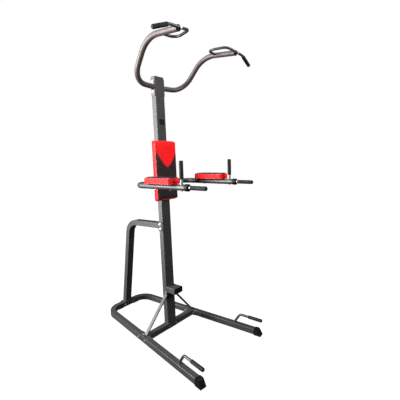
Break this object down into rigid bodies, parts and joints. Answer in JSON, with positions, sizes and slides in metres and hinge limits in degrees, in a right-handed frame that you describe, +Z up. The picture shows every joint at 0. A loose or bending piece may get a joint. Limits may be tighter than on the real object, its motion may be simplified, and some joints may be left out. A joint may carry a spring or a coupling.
{
  "type": "power tower",
  "caption": "Free-standing power tower: leaning post on a splayed floor frame, padded backrest and arms, dip handles, pull-up bars with loop handles and low push-up handles.",
  "frame": {"origin": "centre of the bounding box in plan, on the floor", "axes": "+Z up; the open side of the floor frame, where the user stands, faces -Y; +X is to the right of a person standing in front and facing the tower"},
  "size_m": [1.105, 1.4132, 2.4186],
  "materials": {
    "frame_paint": "satin charcoal powder coat",
    "bar_paint": "satin warm grey powder coat",
    "plated_tube": "satin plated steel",
    "zinc_bolts": "bright zinc",
    "black_plastic": "matt moulded plastic",
    "foam_grip": "closed foam",
    "red_vinyl": "red vinyl with a black centre panel on the backrest",
    "pad_board": "raw plywood",
    "badge_plate": "plain black"
  },
  "bodies": {
    "root": {"rear_base_frame": "frame_paint", "cross_beam": "frame_paint", "front_leg_left": "frame_paint", "front_leg_right": "frame_paint", "foot_cap_left": "black_plastic", "foot_cap_right": "black_plastic", "rear_foot_pads": "black_plastic", "pushup_handle_left": "frame_paint", "pushup_handle_right": "frame_paint", "pushup_grip_left": "foam_grip", "pushup_grip_right": "foam_grip", "post": "frame_paint", "post_saddle": "frame_paint", "post_cap": "black_plastic", "step_stub": "frame_paint", "step_plug": "black_plastic", "brace_left": "frame_paint", "brace_right": "frame_paint", "rear_support": "frame_paint", "rear_support_foot": "frame_paint", "rear_support_bracket": "frame_paint", "arm_left": "frame_paint", "arm_right": "frame_paint", "arm_cap_left": "black_plastic", "arm_cap_right": "black_plastic", "dip_handle_left": "plated_tube", "dip_handle_right": "plated_tube", "dip_grip_left": "foam_grip", "dip_grip_right": "foam_grip", "upright_handle_left": "plated_tube", "upright_handle_right": "plated_tube", "upright_grip_left": "foam_grip", "upright_grip_right": "foam_grip", "armrest_pad_left": "red_vinyl", "armrest_pad_right": "red_vinyl", "armrest_board_left": "pad_board", "armrest_board_right": "pad_board", "backrest_pad": "red_vinyl", "backrest_board": "pad_board", "pullup_bar_left": "bar_paint", "pullup_bar_right": "bar_paint", "bar_cap_left": "black_plastic", "bar_cap_right": "black_plastic", "end_handle_left": "frame_paint", "end_handle_right": "frame_paint", "end_grip_left": "foam_grip", "end_grip_right": "foam_grip", "leg_bolts": "zinc_bolts", "saddle_bolts": "zinc_bolts", "brace_bolts": "zinc_bolts", "brace_foot_bolts": "zinc_bolts", "support_bolts": "zinc_bolts", "support_foot_bolts": "zinc_bolts", "arm_bolts": "zinc_bolts", "bar_bolts": "zinc_bolts", "backrest_bolts": "zinc_bolts", "armrest_screws": "zinc_bolts", "handle_bolts": "zinc_bolts", "badge": "badge_plate"}
  },
  "joints": []
}
